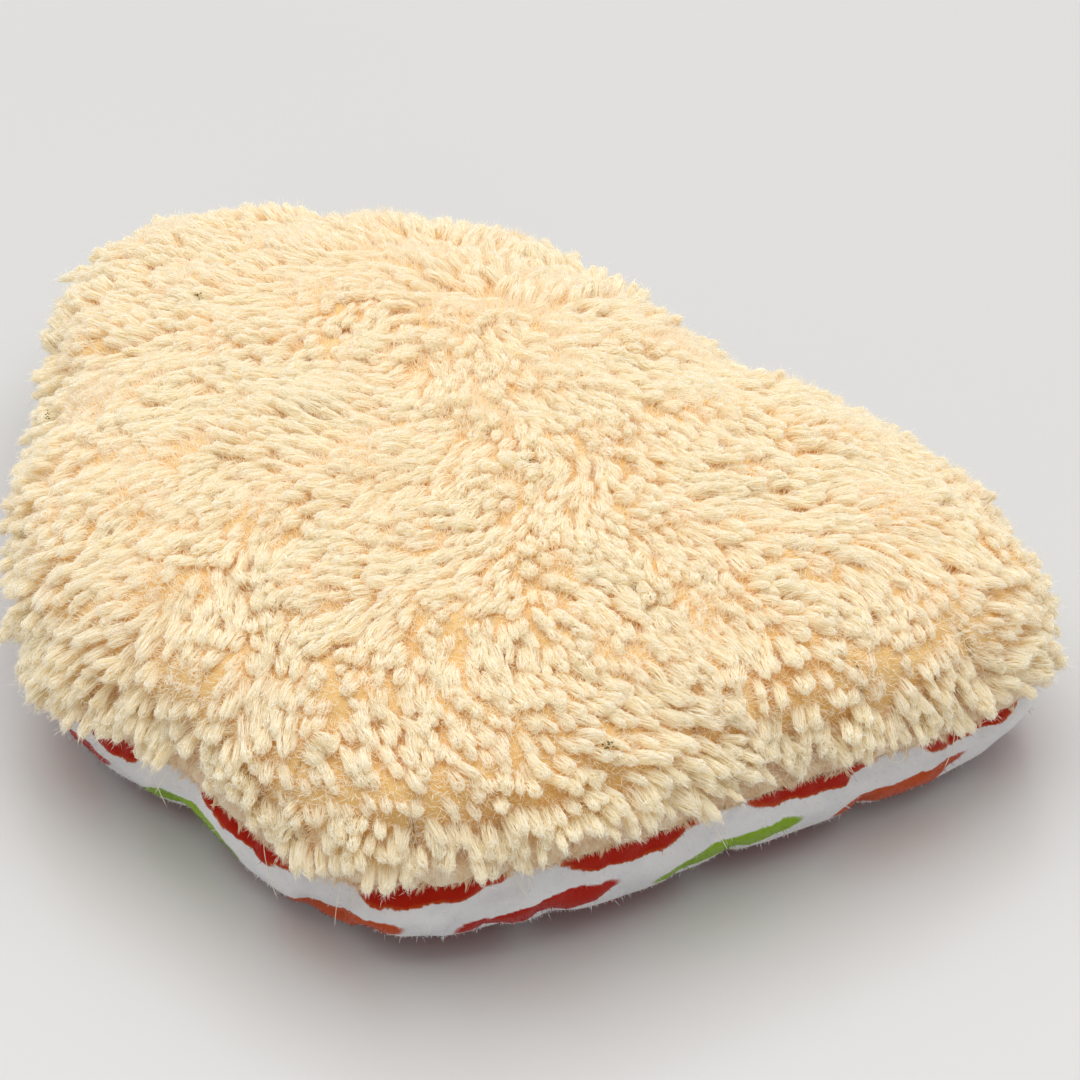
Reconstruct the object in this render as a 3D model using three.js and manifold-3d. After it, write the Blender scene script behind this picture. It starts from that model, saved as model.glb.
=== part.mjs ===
// A stuffed catnip toy: a sherpa fleece back and a printed velour front, sewn face to face, turned
// right side out, filled with polyester fibre round a pocket of dried catnip, and sewn shut.
// Millimetres, +Z up. It lies on its printed belly, with the origin under the middle of its box.

import * as THREE from 'three';
import { mergeVertices } from 'three/addons/utils/BufferGeometryUtils.js';
import Module from 'manifold-3d';

// Sewing pattern: the seam line's width from the left to the right corner, and its depth from the
// front to the back left corner. Each corner stands at a share of the width and of the depth,
// anticlockwise from above, and the side after it bows out by a share of the width.
const PATTERN_WIDTH = 104.5;
const PATTERN_DEPTH = 108;
const PATTERN = [
  { across: 0.062, along: 1, bow: 0.043 }, // back left corner, left side
  { across: 0, along: 0.356, bow: 0.038 }, // left corner, front left side
  { across: 0.392, along: 0, bow: 0.067 }, // front corner, front right side
  { across: 1, along: 0.352, bow: 0.043 }, // right corner, back right side
  { across: 0.435, along: 0.982, bow: 0.014 }, // back right corner, back side
];

// The toy is turned and stuffed through a gap in the middle of the back side.
const TURNING_GAP = 30;

// Stuffed form
const SEAM_HEIGHT = 13;
const FLEECE_CROWN = 10;
const FLEECE_FULLNESS = 2.6;
const BELLY_FULLNESS = 3.4;
const BELLY_SWELL = 1.4;
const REST_CUT = 0.5;

// The seam sags a little all round, and hangs lower at these headings from the centre, in degrees
const SEAM_SAG = 0.3;
const SEAM_DROOPS = [
  { heading: -150, depth: 3, spread: 13 }, // left corner
  { heading: -108, depth: 3.4, spread: 10 }, // front corner
  { heading: -20, depth: 3, spread: 15 }, // right corner
  { heading: 60, depth: 1.2, spread: 16 }, // back right corner
  { heading: 118, depth: 1.5, spread: 14 }, // back left corner
];

// Fabrics
const FLEECE_PLY = 1.2;
const PILE_LENGTH = 5;
const VELOUR_PLY = 1;

// The pile is matted to felt beside the seam and full further in, at swell angles in degrees. There
// it rises and falls in locks, where waves that run at these headings in degrees meet.
const FELT_DEPTH = 1.3;
const FELT_ANGLE = 4;
const PILE_ANGLE = 16;
const LOCK_RISE = 1.2;
const LOCK_WAVES = [
  { heading: 15, length: 12 },
  { heading: 75, length: 10.5 },
  { heading: 130, length: 13.5 },
];

// Seam: the stitch line's distance from the fold, and the allowance beyond it
const STITCH_INSET = 3.2;
const SEAM_ALLOWANCE = 4.5;
const STITCH_LENGTH = 5.5;
const STITCH_LOOP = 1;
const STITCH_LOCK = 0.35;
const THREAD = 0.5;
const THREAD_TAIL = 1.8;

// Filling
const CATNIP_RADIUS = 17;
const CATNIP_THICKNESS = 8;

// Gap left between neighbours
const GAP = 0.3;

// Facets: points round the outline, and the swell angles in degrees that a stuffed panel has rings at
const OUTLINE_STEPS = 84;
const FILLING_STEPS = 56;
const SWELL_ANGLES = [4, 9, 14, 20, 28, 38, 50, 62, 74, 83];
const PILE_ANGLES = [4, 9, 14, 20, 28, 36, 43, 49, 55, 60, 65, 70, 74, 78, 82, 86];
const RAMP_ANGLE = 18;
const FILLING_ANGLES = [20, 34, 50, 66, 80];
const CATNIP_ANGLES = [0, 25, 50, 72];

const FABRIC_ROUGHNESS = 1;
const FLEECE_COLOUR = 0xf3d5a5;
const VELOUR_COLOUR = 0xe6e3e2;
const FLEECE_THREAD_COLOUR = 0xf0e4cf;
const VELOUR_THREAD_COLOUR = 0xefefef;
const FIBREFILL_COLOUR = 0xf7f7f5;
const CATNIP_COLOUR = 0x76803f;

const wasm = await Module();
wasm.setup();

// Outline

function seamCurve() {
  const corners = PATTERN.map(({ across, along }) =>
    new THREE.Vector3(across * PATTERN_WIDTH, along * PATTERN_DEPTH, 0));
  const points = corners.flatMap((start, i) => {
    const end = corners[(i + 1) % corners.length];
    const side = end.clone().sub(start).normalize();
    const outward = new THREE.Vector3(side.y, -side.x, 0);
    const middle = start.clone().lerp(end, 0.5).addScaledVector(outward, PATTERN[i].bow * PATTERN_WIDTH);
    return [start, middle];
  });
  const curve = new THREE.CatmullRomCurve3(points, true, 'centripetal');
  curve.arcLengthDivisions = 1000;
  return curve;
}

// The centre of the area inside a closed line of points
function areaCentre(points) {
  const sum = new THREE.Vector2();
  let doubleArea = 0;
  points.forEach((point, i) => {
    const next = points[(i + 1) % points.length];
    const cross = point.x * next.y - next.x * point.y;
    doubleArea += cross;
    sum.add(new THREE.Vector2(point.x + next.x, point.y + next.y).multiplyScalar(cross));
  });
  return sum.divideScalar(3 * doubleArea);
}

const seam = seamCurve();
const centre = areaCentre(seam.getSpacedPoints(OUTLINE_STEPS));

// Each outline point as a direction from the centre and a reach to the seam
function outlineRays(steps) {
  return seam.getSpacedPoints(steps).slice(0, steps).map(({ x, y }) => {
    const ray = new THREE.Vector2(x, y).sub(centre);
    const reach = ray.length();
    return { direction: ray.divideScalar(reach), reach };
  });
}

// How far the seam hangs below its level in the direction of a place from the centre
function seamDroop(x, y) {
  const angle = THREE.MathUtils.radToDeg(Math.atan2(y, x));
  return SEAM_DROOPS.reduce((sum, { heading, depth, spread }) => {
    const apart = THREE.MathUtils.euclideanModulo(angle - heading + 180, 360) - 180;
    return sum + depth * Math.exp(-0.5 * (apart / spread) ** 2);
  }, SEAM_SAG);
}

// Lofted solids

// How far the pile stands above its mean at a place from the centre, as a share of its locks' rise
function lockShare(x, y) {
  const waves = LOCK_WAVES.map(({ heading, length }) => {
    const angle = THREE.MathUtils.degToRad(heading);
    return Math.sin((2 * Math.PI * (x * Math.cos(angle) + y * Math.sin(angle))) / length);
  });
  return waves.reduce((sum, wave) => sum + wave) / waves.length;
}

// A ring is the outline shrunk towards the centre by a share, let out by a length, at a height.
// With a share of 1 it is a circle. It hangs with the seam by a share of the seam's droop, and its
// locks stand out and up by these lengths at the most.
const ring = (shrink, out, z, hang = 0, locks = { out: 0, up: 0 }) => ({ shrink, out, z, hang, locks });

// A closed solid through rings that run from a lower or inner pole, out, and back to the other
// pole, in the order that faces the surface out. A pole is a point at the centre.
function loft(rings, firstPole, lastPole, steps) {
  const rays = outlineRays(steps);
  const positions = [centre.x, centre.y, firstPole];
  for (const { shrink, out, z, hang, locks } of rings)
    for (const { direction, reach } of rays) {
      const mean = reach * (1 - shrink) + out;
      const share = lockShare(direction.x * mean, direction.y * mean);
      const radius = mean + locks.out * share;
      const height = z - hang * seamDroop(direction.x, direction.y) + locks.up * share;
      positions.push(centre.x + direction.x * radius, centre.y + direction.y * radius, height);
    }
  positions.push(centre.x, centre.y, lastPole);

  const index = [];
  const at = (row, column) => 1 + row * steps + (column % steps);
  const last = 1 + rings.length * steps;
  for (let column = 0; column < steps; column++) {
    index.push(0, at(0, column + 1), at(0, column));
    for (let row = 0; row + 1 < rings.length; row++) {
      const corners = [at(row, column), at(row, column + 1), at(row + 1, column + 1), at(row + 1, column)];
      index.push(corners[0], corners[1], corners[2], corners[0], corners[2], corners[3]);
    }
    index.push(last, at(rings.length - 1, column), at(rings.length - 1, column + 1));
  }
  return new THREE.BufferGeometry()
    .setAttribute('position', new THREE.Float32BufferAttribute(positions, 3))
    .setIndex(index);
}

// The swell of a stuffed panel, a quarter of a superellipse: at an angle from the seam, how far it
// has drawn in, as a share of the reach, and how far it has risen, as a share of the crown.
function swell(degrees, fullness) {
  const angle = THREE.MathUtils.degToRad(degrees);
  return {
    drawnIn: 1 - Math.cos(angle) ** (2 / fullness),
    risen: Math.sin(angle) ** (2 / fullness),
    out: Math.cos(angle),
    up: Math.sin(angle),
  };
}

// The share of its full depth that a pile or a bulge has reached at an angle from the seam
const ramp = (degrees) => Math.sin((Math.PI / 2) * Math.min(1, degrees / RAMP_ANGLE));

// Rings of a panel's surface, let out square to it by a thickness, above or below the seam
function fleeceRing(degrees, thickness) {
  const { drawnIn, risen, out, up } = swell(degrees, FLEECE_FULLNESS);
  const z = SEAM_HEIGHT + FLEECE_CROWN * risen + thickness * up;
  return ring(drawnIn, thickness * out, z, (1 - risen) ** 2);
}

function bellyRing(degrees, thickness) {
  const { drawnIn, risen, out, up } = swell(degrees, BELLY_FULLNESS);
  const fall = (SEAM_HEIGHT + REST_CUT) * risen;
  const bulge = BELLY_SWELL * ramp(degrees);
  const z = Math.max(-thickness, SEAM_HEIGHT - fall - thickness * up);
  return ring(drawnIn, (bulge + thickness) * out, z, Math.max(0, 1 - fall / SEAM_HEIGHT));
}

// The angle at which the belly, full, would pass below the surface that the toy rests on
function restAngle() {
  const risen = SEAM_HEIGHT / (SEAM_HEIGHT + REST_CUT);
  return THREE.MathUtils.radToDeg(Math.asin(risen ** (BELLY_FULLNESS / 2)));
}

// Sewn panels

const foldWidth = STITCH_INSET + SEAM_ALLOWANCE;
const foldRings = (side, ply) => [
  ring(0, 0, SEAM_HEIGHT + (side * GAP) / 2, 1),
  ring(0, -foldWidth, SEAM_HEIGHT + (side * GAP) / 2, 1),
  ring(0, -foldWidth, SEAM_HEIGHT + side * (GAP / 2 + ply), 1),
  ring(0, -ply, SEAM_HEIGHT + side * (GAP / 2 + ply), 1),
];

// A ring of the pile's tips: low on the felt beside the seam, in locks where the pile is full
function pileRing(degrees) {
  const grown = THREE.MathUtils.smoothstep(degrees, FELT_ANGLE, PILE_ANGLE);
  const depth = FELT_DEPTH * ramp(degrees) + (PILE_LENGTH - FELT_DEPTH) * grown;
  const { shrink, out, z, hang } = fleeceRing(degrees, depth);
  const facing = swell(degrees, FLEECE_FULLNESS);
  const rise = LOCK_RISE * grown;
  return ring(shrink, out, z, hang, { out: rise * facing.out, up: rise * facing.up });
}

// The fleece dome with its pile, and its edge turned in flat along the seam
function fleecePanel() {
  const pile = PILE_ANGLES.map(pileRing);
  const back = SWELL_ANGLES.slice(2).map((degrees) => fleeceRing(degrees, -FLEECE_PLY));
  const rings = [...pile.reverse(), ...foldRings(1, FLEECE_PLY), ...back];
  const top = SEAM_HEIGHT + FLEECE_CROWN;
  return loft(rings.reverse(), top - FLEECE_PLY, top + PILE_LENGTH, OUTLINE_STEPS);
}

// The velour bowl, pressed flat where it rests, with its edge turned in flat along the seam
function printedPanel() {
  const angles = [...SWELL_ANGLES.filter((degrees) => degrees < restAngle()), restAngle()];
  const face = angles.map((degrees) => bellyRing(degrees, 0));
  const back = angles.slice(2).map((degrees) => bellyRing(degrees, -VELOUR_PLY));
  const rings = [...face.reverse(), ...foldRings(-1, VELOUR_PLY), ...back];
  return loft(rings, 0, VELOUR_PLY, OUTLINE_STEPS);
}

// Boolean cuts

function solidOf(geometry) {
  const bare = geometry.clone().deleteAttribute('normal').deleteAttribute('uv');
  const merged = mergeVertices(bare, 1e-4);
  return new wasm.Manifold(new wasm.Mesh({
    numProp: 3,
    vertProperties: merged.attributes.position.array,
    triVerts: new Uint32Array(merged.index.array),
  }));
}

function geometryOf(solid) {
  const { vertProperties, triVerts } = solid.getMesh();
  return new THREE.BufferGeometry()
    .setAttribute('position', new THREE.BufferAttribute(vertProperties, 3))
    .setIndex(new THREE.BufferAttribute(triVerts, 1));
}

// Stitches

const seamLength = seam.getLength();
const stitchCount = Math.round(seamLength / STITCH_LENGTH);
const pitch = seamLength / stitchCount;

// A place on the stitch line, and the seam's level there, at a length along the seam from the middle
// of the turning gap
function stitchFrame(length) {
  const gapMiddle = 1 - 0.5 / PATTERN.length;
  const middleLength = seam.getLengths()[Math.round(gapMiddle * seam.arcLengthDivisions)];
  const u = THREE.MathUtils.euclideanModulo((middleLength + length) / seamLength, 1);
  const along = seam.getTangentAt(u);
  const outward = new THREE.Vector3(along.y, -along.x, 0);
  const point = seam.getPointAt(u).addScaledVector(outward, -STITCH_INSET);
  const level = SEAM_HEIGHT - seamDroop(point.x - centre.x, point.y - centre.y);
  return { point, along, outward, level };
}

const stitchPlaces = Array.from({ length: stitchCount }, (_, i) => (i + 0.5) * pitch);
const fromGapMiddle = (place) => (place > seamLength / 2 ? place - seamLength : place);
const inGap = (place) => Math.abs(fromGapMiddle(place)) < TURNING_GAP / 2;

// A needle hole takes two loops of thread side by side, and a loop's two legs along the seam.
const loopOffset = (THREAD + GAP) / 2;
const holeWidth = 2 * THREAD + 3 * GAP;
const holeLength = STITCH_LOOP + THREAD + 2 * GAP;

function needleHole(place) {
  const { point, along, level } = stitchFrame(place);
  const height = 2 * (GAP + Math.max(FLEECE_PLY, VELOUR_PLY));
  return new THREE.BoxGeometry(holeLength, holeWidth, height)
    .rotateZ(Math.atan2(along.y, along.x))
    .translate(point.x, point.y, level);
}

function pierced(panel) {
  const holes = stitchPlaces.map((place) => solidOf(needleHole(place)));
  return geometryOf(holes.reduce((cut, hole) => cut.subtract(hole), solidOf(panel)));
}

// How high above the seam plane a thread lies on the fleece's fold, and how low under the velour's
const threadOver = GAP / 2 + FLEECE_PLY + GAP + THREAD / 2;
const threadUnder = -(GAP / 2 + VELOUR_PLY + GAP + THREAD / 2);

// One unbroken four-sided thread through points given as a length along the seam, an offset
// outward from the stitch line and a height from the seam plane
function threadAlong(stops) {
  const path = stops.map(({ length, offset, height }) => {
    const { point, outward, level } = stitchFrame(length);
    return { outward, at: point.addScaledVector(outward, offset).setZ(level + height) };
  });
  const positions = [];
  path.forEach(({ outward, at }, i) => {
    const before = path[Math.max(0, i - 1)].at;
    const after = path[Math.min(path.length - 1, i + 1)].at;
    const tangent = after.clone().sub(before).normalize();
    const upward = outward.clone().cross(tangent).normalize();
    const sideways = tangent.clone().cross(upward);
    for (const arm of [sideways, upward, sideways.clone().negate(), upward.clone().negate()])
      positions.push(...at.clone().addScaledVector(arm, THREAD / 2));
  });
  const sides = 4;
  const end = (path.length - 1) * sides;
  const index = [0, 1, 2, 0, 2, 3, end, end + 2, end + 1, end, end + 3, end + 2];
  for (let row = 0; row < path.length - 1; row++)
    for (let side = 0; side < sides; side++) {
      const a = row * sides + side;
      const b = row * sides + ((side + 1) % sides);
      index.push(a, b + sides, b, a, a + sides, b + sides);
    }
  return new THREE.BufferGeometry()
    .setAttribute('position', new THREE.Float32BufferAttribute(positions, 3))
    .setIndex(index);
}

// A thread's stops with a loose end before and after them
function withTails(stops) {
  const tail = (stop, step) => ({ ...stop, length: stop.length + step });
  return [tail(stops[0], -THREAD_TAIL), ...stops, tail(stops.at(-1), THREAD_TAIL)];
}

// A lockstitch thread lies along one face of the seam and loops into each hole, past the middle,
// beside the loop of the other thread.
function lockstitch(lie, offset, lock) {
  const sewn = stitchPlaces.filter((place) => !inGap(place));
  const leg = STITCH_LOOP / 2;
  const stops = sewn.flatMap((place) => [[-leg, lie], [-leg, lock], [leg, lock], [leg, lie]]
    .map(([step, height]) => ({ length: place + step, offset, height })));
  return threadAlong(withTails(stops));
}

// The ladder stitch that shuts the turning gap, over the fleece's fold and under the velour's by turns
function ladderStitch() {
  const closed = stitchPlaces.filter(inGap).map(fromGapMiddle).sort((a, b) => a - b);
  const heights = [threadOver, threadUnder];
  const stops = closed.flatMap((place, i) => [heights[i % 2], heights[(i + 1) % 2]]
    .map((height) => ({ length: place, offset: 0, height })));
  return threadAlong(withTails(stops));
}

// Filling

// The catnip pocket as rings of a lens about the centre, from its rim to near its pole
const lensRings = (side, clearance) => CATNIP_ANGLES.map((degrees) => {
  const angle = THREE.MathUtils.degToRad(degrees);
  const height = (CATNIP_THICKNESS / 2 + clearance) * Math.sin(angle);
  return ring(1, (CATNIP_RADIUS + clearance) * Math.cos(angle), SEAM_HEIGHT + side * height);
});

function catnip() {
  const [rim, ...below] = lensRings(-1, 0);
  const above = lensRings(1, 0).slice(1);
  const half = CATNIP_THICKNESS / 2;
  return loft([...below.reverse(), rim, ...above], SEAM_HEIGHT - half, SEAM_HEIGHT + half, FILLING_STEPS);
}

// A wad's underside: clear of the thread and the folded edge, then level with the seam out to the
// hollow that holds the catnip
function wadInnerRings(side, lie) {
  const overSeam = SEAM_HEIGHT + lie + side * (THREAD / 2 + GAP);
  const middle = SEAM_HEIGHT + (side * GAP) / 2;
  const hollow = lensRings(side, GAP).slice(1);
  return [
    ring(0, -(foldWidth + GAP), overSeam, 1),
    ring(0, -(foldWidth + GAP), middle, 1),
    ring(1, CATNIP_RADIUS + GAP, middle),
    ...hollow,
  ];
}

function upperWad() {
  const clear = FLEECE_PLY + GAP;
  const face = FILLING_ANGLES.map((degrees) => fleeceRing(degrees, -clear));
  const rim = ring(face[0].shrink, face[0].out, SEAM_HEIGHT + threadOver + THREAD / 2 + GAP, 1);
  const rings = [...wadInnerRings(1, threadOver).reverse(), rim, ...face];
  const hollowTop = SEAM_HEIGHT + CATNIP_THICKNESS / 2 + GAP;
  return loft(rings, hollowTop, SEAM_HEIGHT + FLEECE_CROWN - clear, FILLING_STEPS);
}

function lowerWad() {
  const clear = VELOUR_PLY + GAP;
  const angles = [...FILLING_ANGLES.filter((degrees) => degrees < restAngle()), restAngle()];
  const face = angles.map((degrees) => bellyRing(degrees, -clear));
  const rim = ring(face[0].shrink, face[0].out, SEAM_HEIGHT + threadUnder - THREAD / 2 - GAP, 1);
  const rings = [...face.reverse(), rim, ...wadInnerRings(-1, threadUnder)];
  const hollowFloor = SEAM_HEIGHT - CATNIP_THICKNESS / 2 - GAP;
  return loft(rings, clear, hollowFloor, FILLING_STEPS);
}

// Assembly

function piece(name, geometry, color) {
  const material = new THREE.MeshStandardMaterial({ color, roughness: FABRIC_ROUGHNESS, metalness: 0 });
  const mesh = new THREE.Mesh(geometry, material);
  mesh.name = name;
  return mesh;
}

const toy = new THREE.Group();
toy.add(
  piece('fleece_panel', pierced(fleecePanel()), FLEECE_COLOUR),
  piece('printed_panel', pierced(printedPanel()), VELOUR_COLOUR),
  piece('needle_thread', lockstitch(threadOver, loopOffset, -STITCH_LOCK), FLEECE_THREAD_COLOUR),
  piece('bobbin_thread', lockstitch(threadUnder, -loopOffset, STITCH_LOCK), VELOUR_THREAD_COLOUR),
  piece('closing_thread', ladderStitch(), FLEECE_THREAD_COLOUR),
  piece('upper_stuffing', upperWad(), FIBREFILL_COLOUR),
  piece('lower_stuffing', lowerWad(), FIBREFILL_COLOUR),
  piece('catnip_filling', catnip(), CATNIP_COLOUR),
);

const middle = new THREE.Box3().setFromObject(toy).getCenter(new THREE.Vector3());
toy.position.set(-middle.x, -middle.y, 0);

export default toy;
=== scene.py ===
import math

import bpy
import numpy as np
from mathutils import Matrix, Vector


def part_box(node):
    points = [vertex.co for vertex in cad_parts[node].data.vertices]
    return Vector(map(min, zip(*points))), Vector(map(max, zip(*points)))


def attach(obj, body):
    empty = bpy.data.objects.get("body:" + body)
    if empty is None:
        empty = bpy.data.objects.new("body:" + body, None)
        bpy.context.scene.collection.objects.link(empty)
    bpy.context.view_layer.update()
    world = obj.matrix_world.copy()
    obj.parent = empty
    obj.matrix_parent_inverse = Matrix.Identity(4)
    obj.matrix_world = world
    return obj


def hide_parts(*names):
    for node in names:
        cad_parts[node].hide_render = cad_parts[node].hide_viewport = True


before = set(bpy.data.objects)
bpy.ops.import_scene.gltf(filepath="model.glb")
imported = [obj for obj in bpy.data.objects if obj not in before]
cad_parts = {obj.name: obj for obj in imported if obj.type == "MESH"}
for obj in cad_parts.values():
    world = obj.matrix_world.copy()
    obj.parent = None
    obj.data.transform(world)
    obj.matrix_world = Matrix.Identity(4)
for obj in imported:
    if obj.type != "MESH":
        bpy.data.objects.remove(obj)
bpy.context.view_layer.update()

MM = 0.001

# Stuffed form before the cloth swells, in millimetres and degrees
FLEECE_CROWN = 9.0
FLEECE_FULLNESS = 2.6
BELLY_FULLNESS = 3.0
BELLY_SWELL = 2.4
REST_CUT = 0.5
RAMP_ANGLE = 18.0
VELOUR_PLY = 1.0
FLEECE_PLY = 1.2
FOLD_WIDTH = 4.0

# Where the seam hangs below its level: heading in degrees, depth in millimetres, spread in degrees
SEAM_SAG = 0.3
SEAM_DROOPS = ((-108, 3.4, 10), (-20, 3.0, 15), (-150, 3.0, 13), (60, 1.2, 16), (118, 1.5, 14))

# Grid of a panel: points round the seam, rows from the seam to the pole, and how close the rim's rows lie
COLUMNS = 480
ROWS = 36
ROW_BIAS = 1.7

# Cloth: a coarser grid, swollen at ten times its size
CLOTH_COLUMNS = 240
CLOTH_ROWS = 22
CLOTH_SCALE = 10.0
CLOTH_FRAMES = 20
CLOTH_PRESSURE = 3.0
CLOTH_GROWTH = 0.05
CLOTH_CAP = 1.5

# Pile: the tufts' spacing beside each other and along their fall, their size, and the felt and the fibre under them
TUFT_PITCH = 1.2
TUFT_ROW = 1.85
TUFT_JITTER = 0.35
TUFT_RADIUS = 0.68
TUFT_LENGTH = 5.3
FELT_WIDTH = 3.8
FELT_DEPTH = 1.3
FELT_EDGE = 1.4
LOCK_RISE = 1.2
LOCK_WAVES = ((15, 12.0), (75, 10.5), (130, 13.5))
UNDERPILE = 3.0
UNDERPILE_RISE = (4.5, 9.0)
WHORL = (-3.0, 24.0)
WHORL_SPREAD = 13.0
PILE_PIECES = 24

# Distances from the seam: where the tufts stand close, and where they go over to lying on fibre that lifts their roots
RIM_STRIP = 7.0
LYING = (6.0, 13.0)
LYING_LIFT = 2.5

# Fibres, in all or to a tuft or wisp, and their widths
TUFT_FIBRES, TUFT_FIBRE_WIDTH = 150, 0.12
CAP_FIBRES, CAP_FIBRE_WIDTH = 65, 0.12
SHORT_FIBRES, SHORT_FIBRE_WIDTH = 34, 0.05
UNDERFUR, UNDERFUR_PIECES, UNDERFUR_WIDTH = 165000, 3, 0.1
SEAM_FUZZ, SEAM_FUZZ_PIECES, SEAM_FUZZ_WIDTH = 68000, 2, 0.06
SEAM_WISPS, WISP_FIBRES, WISP_WIDTH = 1100, 14, 0.07
NAP_FIBRES, NAP_STRIP, NAP_WIDTH = 18000, 17.0, 0.07

# A tuft's girth along its length, as shares of its radius, where the pile is full and by the rim
TUFT_STEPS = np.array([0.0, 0.3, 0.55, 0.75, 0.88, 0.98, 1.07])
TUFT_BLUNT = np.array([0.62, 0.86, 1.0, 1.06, 1.06, 0.96, 0.62])
TUFT_WISPY = np.array([0.7, 0.94, 1.0, 0.96, 0.86, 0.7, 0.42])

# Where the rim's tufts are longer or shorter: heading in degrees, and by what share of their length
RIM_LENGTHS = ((127, 0.4), (73, 0.35), (15, -0.3), (-152, 0.3))
RIM_SPREAD = 9.0

# Print: motifs round the border, and the flat pattern's millimetres to one unit of the map
MOTIFS = 16
FLAT_SCALE = 230.0

# Camera: a long lens, looking down at the toy from the front
CAMERA_ELEVATION = 36.5
CAMERA_DISTANCE = 400.0
CAMERA_TARGET = (2.0, -0.7, 13.0)
FOCAL_PIXELS = 3685.0
FRAME_PIXELS = 1080.0
SENSOR = 36.0

# Light: one wide lamp overhead and an even surround, with bounces enough for pale fibre
KEY_PLACE = (0, 150, 750)
KEY_AIM = (0, 0, 10)
KEY_SIZE = 1.2
KEY_POWER = 7.8
SURROUND = 0.53
MAX_BOUNCES = 48
DIFFUSE_BOUNCES = 40
FLOOR_REACH = 3000.0


# Small helpers

def unit(v):
    return v / np.maximum(np.linalg.norm(v, axis=-1, keepdims=True), 1e-12)


def smooth(value, low, high):
    share = np.clip((value - low) / (high - low), 0, 1)
    return share * share * (3 - 2 * share)


def value_noise(x, y, scale, seed):
    """Smooth noise from -1 to 1 at points of a plane."""
    lattice = np.random.default_rng(seed).uniform(-1, 1, (64, 64))
    u, v = np.asarray(x) / scale + 1000, np.asarray(y) / scale + 1000
    i, j = np.floor(u).astype(int), np.floor(v).astype(int)
    fu, fv = u - i, v - j
    fu, fv = fu * fu * (3 - 2 * fu), fv * fv * (3 - 2 * fv)
    near = lattice[i % 64, j % 64] * (1 - fu) + lattice[(i + 1) % 64, j % 64] * fu
    far = lattice[i % 64, (j + 1) % 64] * (1 - fu) + lattice[(i + 1) % 64, (j + 1) % 64] * fu
    return near * (1 - fv) + far * fv


def new_mesh(name, verts, faces, material, uvs=None, shaded_smooth=True):
    """A mesh object from vertices in millimetres, faces (lists of arrays of one face size each) and UVs."""
    groups = faces if isinstance(faces, list) else [np.asarray(faces)]
    sizes = np.concatenate([np.full(len(group), group.shape[1]) for group in groups])
    loops = np.concatenate([group.ravel() for group in groups]).astype(np.int32)
    starts = np.concatenate([[0], np.cumsum(sizes)[:-1]]).astype(np.int32)
    mesh = bpy.data.meshes.new(name)
    mesh.vertices.add(len(verts))
    mesh.vertices.foreach_set("co", (np.asarray(verts) * MM).astype(np.float32).ravel())
    mesh.loops.add(len(loops))
    mesh.loops.foreach_set("vertex_index", loops)
    mesh.polygons.add(len(sizes))
    mesh.polygons.foreach_set("loop_start", starts)
    mesh.polygons.foreach_set("use_smooth", np.full(len(sizes), shaded_smooth))
    for layer, uv in (uvs or {}).items():
        mesh.uv_layers.new(name=layer).uv.foreach_set("vector", np.asarray(uv, dtype=np.float32)[loops].ravel())
    mesh.update(calc_edges=True)
    mesh.materials.append(material)
    obj = bpy.data.objects.new(name, mesh)
    bpy.context.scene.collection.objects.link(obj)
    return obj


# Materials

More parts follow.
